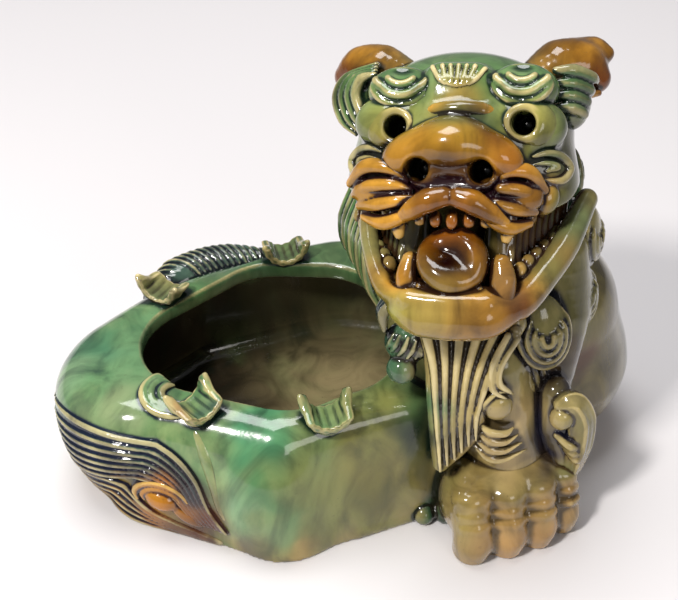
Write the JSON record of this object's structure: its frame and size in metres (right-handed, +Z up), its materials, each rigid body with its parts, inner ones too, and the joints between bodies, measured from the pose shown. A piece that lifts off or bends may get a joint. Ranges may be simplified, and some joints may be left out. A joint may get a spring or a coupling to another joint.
{
  "type": "foo dog ash tray",
  "caption": "Crouching glazed ceramic guardian lion with an open bowl in its back, grooved rests on the rim and an open fanged mouth.",
  "frame": {"origin": "on the table, under the middle of the footprint", "axes": "+X runs from the rump to the chest, -Y is the side that the face looks to, +Z is up"},
  "size_m": [0.1592, 0.1006, 0.1255],
  "materials": {
    "amber_glaze": "gloss glaze, pooled dark in the grooves and thin on the ridges",
    "cream_glaze": "gloss glaze, pooled dark in the grooves and thin on the ridges",
    "deep_green_glaze": "gloss glaze, pooled dark in the grooves and thin on the ridges",
    "green_glaze": "gloss glaze, pooled dark in the grooves and thin on the ridges",
    "honey_glaze": "gloss glaze, pooled dark in the grooves and thin on the ridges",
    "navy_glaze": "gloss glaze, pooled dark in the grooves and thin on the ridges",
    "olive_glaze": "gloss glaze, pooled dark in the grooves and thin on the ridges"
  },
  "bodies": {
    "root": {"bowl_body": "green_glaze", "torso_shell": "olive_glaze", "rump_tail": "green_glaze", "rest_near_left": "green_glaze", "rest_near_right": "honey_glaze", "rest_far_left": "olive_glaze", "rest_far_right": "green_glaze", "near_haunch_swirl": "green_glaze", "far_haunch_swirl": "olive_glaze", "near_flank_hair": "navy_glaze", "far_flank_hair": "navy_glaze", "near_hock_curl": "amber_glaze", "far_hock_curl": "amber_glaze", "near_hind_foot": "deep_green_glaze", "far_hind_foot": "deep_green_glaze", "head_shell": "green_glaze", "muzzle": "amber_glaze", "left_moustache": "amber_glaze", "right_moustache": "amber_glaze", "upper_teeth": "cream_glaze", "lower_jaw": "honey_glaze", "lower_teeth": "cream_glaze", "tongue": "amber_glaze", "left_eye": "olive_glaze", "right_eye": "olive_glaze", "left_brow": "green_glaze", "right_brow": "green_glaze", "forehead_tuft": "cream_glaze", "left_temple_lock": "green_glaze", "right_temple_lock": "green_glaze", "left_ear": "amber_glaze", "right_ear": "amber_glaze", "left_cheek_curl": "olive_glaze", "right_cheek_curl": "olive_glaze", "crown_mane": "deep_green_glaze", "back_mane": "deep_green_glaze", "left_mane_locks": "deep_green_glaze", "right_mane_locks": "olive_glaze", "left_throat_curl": "navy_glaze", "chest_mane": "cream_glaze", "near_foreleg": "olive_glaze", "near_paw": "olive_glaze", "near_knee_curl": "olive_glaze", "near_leg_tuft": "olive_glaze", "far_foreleg": "olive_glaze", "far_paw": "olive_glaze"}
  },
  "joints": []
}
